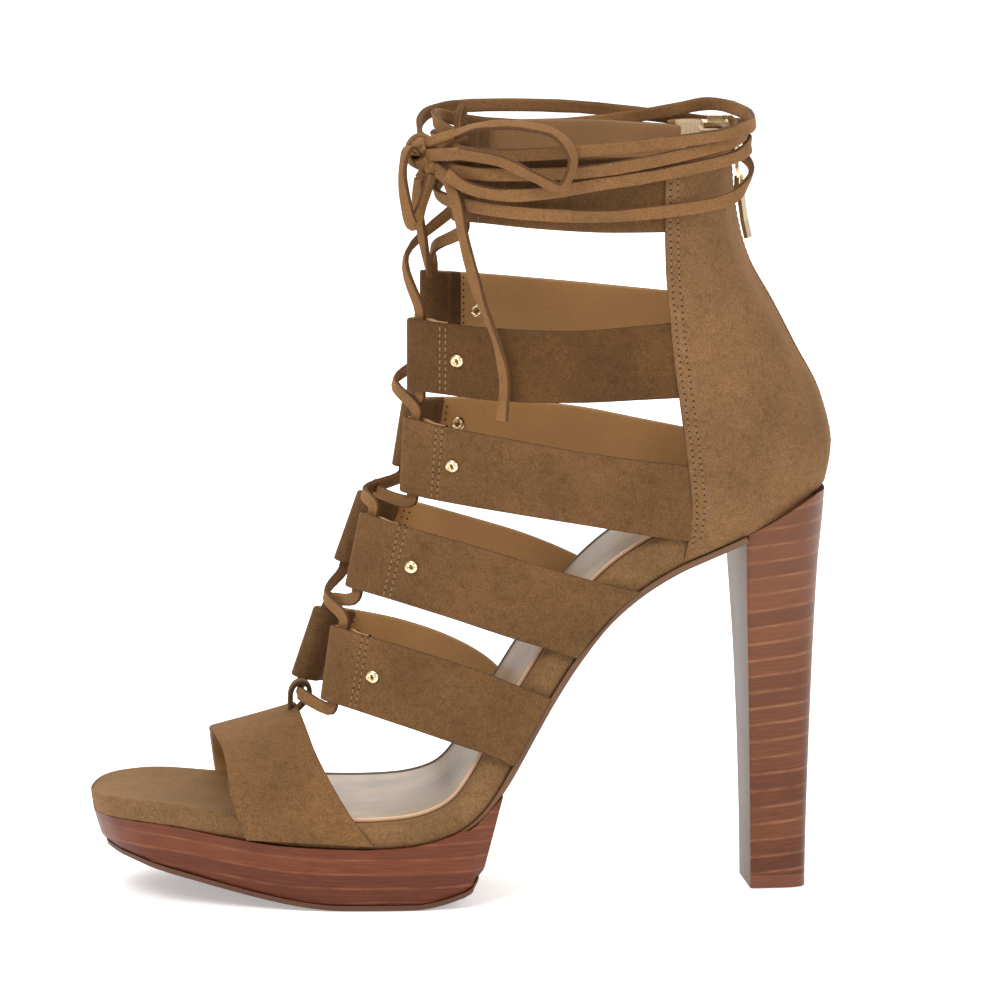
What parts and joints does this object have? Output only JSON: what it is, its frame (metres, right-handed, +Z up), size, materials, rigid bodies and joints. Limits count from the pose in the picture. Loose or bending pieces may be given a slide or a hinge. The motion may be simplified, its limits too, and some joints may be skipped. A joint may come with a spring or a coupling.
{
  "type": "gladiator sandal",
  "caption": "High-heeled platform sandal with laced suede straps, a closed counter with a back zip, and a lace wound and tied round the ankle.",
  "frame": {"origin": "on the floor, at the centre of the plan box of the shoe without its free lace ends", "axes": "+Z up, toe towards -X, heel towards +X, outer (lateral) side of the left shoe towards -Y"},
  "size_m": [0.2186, 0.0879, 0.2335],
  "materials": {
    "suede_taupe": "napped suede, matt",
    "sock_metallic": "soft metallic leather",
    "stacked_leather": "stacked layers, waxed satin",
    "outsole_brown": "matt",
    "sole_leather": "polished edge",
    "brass": "polished",
    "zip_tape": "woven tape with metal teeth",
    "lace_suede": "flat suede lace"
  },
  "bodies": {
    "shoe": {"outsole_front": "outsole_brown", "platform": "stacked_leather", "shank_sole": "sole_leather", "footbed": "suede_taupe", "insole": "sock_metallic", "heel": "stacked_leather", "heel_lift": "outsole_brown", "upper_back": "suede_taupe", "strap_3_near": "suede_taupe", "strap_3_far": "suede_taupe", "strap_4_near": "suede_taupe", "strap_4_far": "suede_taupe", "toe_strap": "suede_taupe", "zip_tape": "zip_tape", "zip_slider": "brass", "rivet_s1_near": "brass", "rivet_s1_far": "brass", "rivet_s2_near": "brass", "rivet_s2_far": "brass", "rivet_strap_3_near": "brass", "rivet_strap_3_far": "brass", "rivet_strap_4_near": "brass", "rivet_strap_4_far": "brass", "lace_front": "lace_suede", "tie_a": "lace_suede", "tie_b": "lace_suede", "knot": "lace_suede", "bow_left": "lace_suede", "bow_right": "lace_suede", "end_long": "lace_suede", "end_short": "lace_suede"},
    "pull_tab": {"zip_pull": "brass"}
  },
  "joints": [
    {"name": "pull_tab_swing", "type": "hinge", "parent": "shoe", "child": "pull_tab", "pos_m": [0.0822, 0.00015, 0.2082], "axis": [-0.435, -0.9004, 0], "range_deg": [0, 90]}
  ]
}
